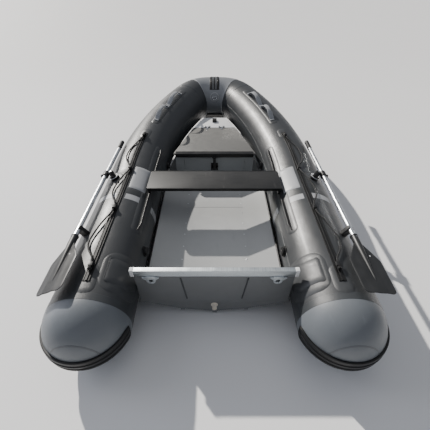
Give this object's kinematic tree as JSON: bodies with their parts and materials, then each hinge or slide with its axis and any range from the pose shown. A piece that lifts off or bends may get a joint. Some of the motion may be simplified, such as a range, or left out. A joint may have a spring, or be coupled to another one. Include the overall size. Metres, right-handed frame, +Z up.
{
  "type": "inflatable dinghy",
  "caption": "Rigid-hulled inflatable dinghy: U-shaped air tube on an aluminium V hull, with deck, bow locker, sliding thwart, stowed oars, lifelines and carry handles.",
  "frame": {"origin": "under the middle of the boat, on the ground plane that the keel and the tubes touch", "axes": "+Y to the bow, +X to starboard, +Z up"},
  "size_m": [1.7062, 3.1361, 0.598],
  "materials": {
    "tube_fabric": "satin calendered PVC fabric",
    "light_fabric": "satin PVC fabric",
    "patch_fabric": "satin PVC fabric",
    "webbing": "woven",
    "black_rubber": "matte moulded",
    "rope": "braided",
    "hull_paint": "satin powder coat",
    "deck_paint": "satin powder coat",
    "bright_aluminium": "anodised",
    "black_plastic": "fine grain",
    "blade_plastic": "moulded",
    "board_laminate": "coated board",
    "pale_plastic": "moulded",
    "stainless": "brushed"
  },
  "bodies": {
    "root": {"bow_patch": "light_fabric", "chafe_strip": "black_rubber", "deck_plate": "deck_paint", "drain_spout": "pale_plastic", "fairleads": "black_plastic", "foredeck": "deck_paint", "handle_loops": "webbing", "handle_patches": "patch_fabric", "hinge_fixed_leaves": "stainless", "hull_shell": "hull_paint", "hull_strakes": "hull_paint", "latch_cradle": "black_rubber", "lifeline_knots": "rope", "lifeline_port": "rope", "lifeline_rails": "black_rubber", "lifeline_starboard": "rope", "locker_tub": "deck_paint", "oar_clip_port": "black_plastic", "oar_clip_starboard": "black_plastic", "oarlock_bases": "black_rubber", "ring_patch": "patch_fabric", "rub_strake": "black_rubber", "seat_tracks": "patch_fabric", "stern_cone_port": "light_fabric", "stern_cone_starboard": "light_fabric", "transom_patches": "tube_fabric", "transom_plate": "hull_paint", "transom_rail": "bright_aluminium", "tube_baffles": "tube_fabric", "tube_port_aft": "tube_fabric", "tube_port_fore": "tube_fabric", "tube_starboard_aft": "tube_fabric", "tube_starboard_fore": "tube_fabric", "valve_bodies": "black_plastic"},
    "thwart": {"thwart_board": "board_laminate", "thwart_brackets": "black_plastic"},
    "lid": {"locker_lid": "deck_paint", "lid_trim": "black_plastic", "hinge_lid_leaves": "stainless"},
    "latch": {"latch_strap": "black_rubber"},
    "bow_ring": {"bow_d_ring": "stainless"},
    "cap_port_aft": {"valve_cap_port_aft": "black_plastic"},
    "cap_port_fore": {"valve_cap_port_fore": "black_plastic"},
    "oarlock_port": {"oarlock_swivel_port": "stainless", "oar_collar_port": "black_plastic", "collar_knob_port": "black_plastic"},
    "oar_port": {"oar_shaft_port": "bright_aluminium", "oar_grip_port": "black_plastic", "oar_blade_port": "blade_plastic"},
    "button_port": {"snap_button_port": "stainless"},
    "cap_starboard_aft": {"valve_cap_starboard_aft": "black_plastic"},
    "cap_starboard_fore": {"valve_cap_starboard_fore": "black_plastic"},
    "oarlock_starboard": {"oarlock_swivel_starboard": "stainless", "oar_collar_starboard": "black_plastic", "collar_knob_starboard": "black_plastic"},
    "oar_starboard": {"oar_shaft_starboard": "bright_aluminium", "oar_grip_starboard": "black_plastic", "oar_blade_starboard": "blade_plastic"},
    "button_starboard": {"snap_button_starboard": "stainless"}
  },
  "joints": [
    {"name": "thwart_slide", "type": "slide", "parent": "root", "child": "thwart", "axis": [0, 1, 0], "range_m": [-0.3, 0]},
    {"name": "lid_hinge", "type": "hinge", "parent": "root", "child": "lid", "pos_m": [0, 0.603, 0.3545], "axis": [-1, 0, 0], "range_deg": [0, 100]},
    {"name": "latch_pivot", "type": "hinge", "parent": "lid", "child": "latch", "pos_m": [0, 0.08, 0.3225], "axis": [-1, 0, 0], "range_deg": [0, 75]},
    {"name": "bow_ring_pivot", "type": "hinge", "parent": "root", "child": "bow_ring", "pos_m": [0, 1.13803, 0.45417], "axis": [-1, 0, 0], "range_deg": [0, 150]},
    {"name": "cap_turn_starboard_aft", "type": "hinge", "parent": "root", "child": "cap_starboard_aft", "pos_m": [0.63, -0.915, 0.212], "axis": [-0.9781, 0, 0.2079], "range_deg": [0, 90]},
    {"name": "cap_turn_starboard_fore", "type": "hinge", "parent": "root", "child": "cap_starboard_fore", "pos_m": [0.61568, 0.0828, 0.24625], "axis": [-0.994, -0.1013, 0.042], "range_deg": [0, 90]},
    {"name": "oarlock_swivel_starboard", "type": "hinge", "parent": "root", "child": "oarlock_starboard", "pos_m": [0.63, -0.36, 0.212], "axis": [0.3746, 0, 0.9272], "range_deg": [0, 110], "deforming": ["oar_clip_starboard"]},
    {"name": "oar_roll_starboard", "type": "hinge", "parent": "oarlock_starboard", "child": "oar_starboard", "pos_m": [0.76784, -0.36, 0.44104], "axis": [0, 1, 0], "range_deg": [-9, 51]},
    {"name": "snap_button_starboard", "type": "slide", "parent": "oar_starboard", "child": "button_starboard", "axis": [-0.1392, 0, -0.9903], "range_m": [0, 0.004], "stiffness_N_per_m": 600},
    {"name": "cap_turn_port_aft", "type": "hinge", "parent": "root", "child": "cap_port_aft", "pos_m": [-0.63, -0.915, 0.212], "axis": [0.9781, 0, 0.2079], "range_deg": [0, 90]},
    {"name": "cap_turn_port_fore", "type": "hinge", "parent": "root", "child": "cap_port_fore", "pos_m": [-0.61568, 0.0828, 0.24625], "axis": [0.994, -0.1013, 0.042], "range_deg": [0, 90]},
    {"name": "oarlock_swivel_port", "type": "hinge", "parent": "root", "child": "oarlock_port", "pos_m": [-0.63, -0.36, 0.212], "axis": [0.3746, 0, -0.9272], "range_deg": [0, 110], "deforming": ["oar_clip_port"]},
    {"name": "oar_roll_port", "type": "hinge", "parent": "oarlock_port", "child": "oar_port", "pos_m": [-0.76784, -0.36, 0.44104], "axis": [0, -1, 0], "range_deg": [-27, 33]},
    {"name": "snap_button_port", "type": "slide", "parent": "oar_port", "child": "button_port", "axis": [0.4384, 0, -0.8988], "range_m": [0, 0.004], "stiffness_N_per_m": 600}
  ]
}
